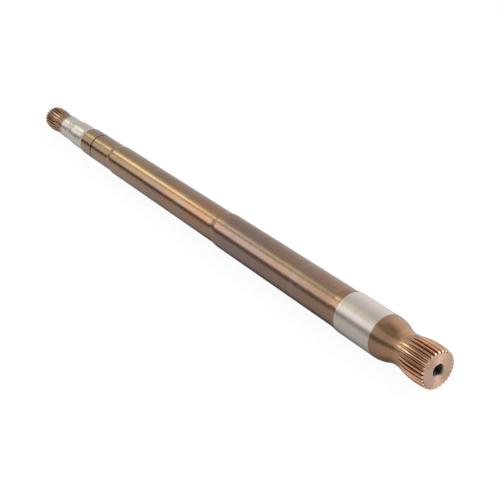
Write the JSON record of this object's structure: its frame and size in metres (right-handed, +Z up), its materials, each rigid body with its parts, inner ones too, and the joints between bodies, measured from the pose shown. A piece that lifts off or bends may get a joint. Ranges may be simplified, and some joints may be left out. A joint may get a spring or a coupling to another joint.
{
  "type": "drive shaft",
  "caption": "Slender one-piece steel shaft with a barrel-shaped spline at each end, ground bearing and seal seats, a retaining-ring groove and a tapped hole in one end.",
  "frame": {"origin": "on the shaft's axis, halfway along the bearing seat beside the tapped end's spline", "axes": "+X along the shaft, out of the tapped hole; +Z up as the shaft lies in the picture"},
  "size_m": [0.6462, 0.035, 0.035],
  "materials": {
    "shaft_steel": "heat-tinted turned steel with bright ground seats"
  },
  "bodies": {
    "root": {"drive_shaft": "shaft_steel"}
  },
  "joints": []
}
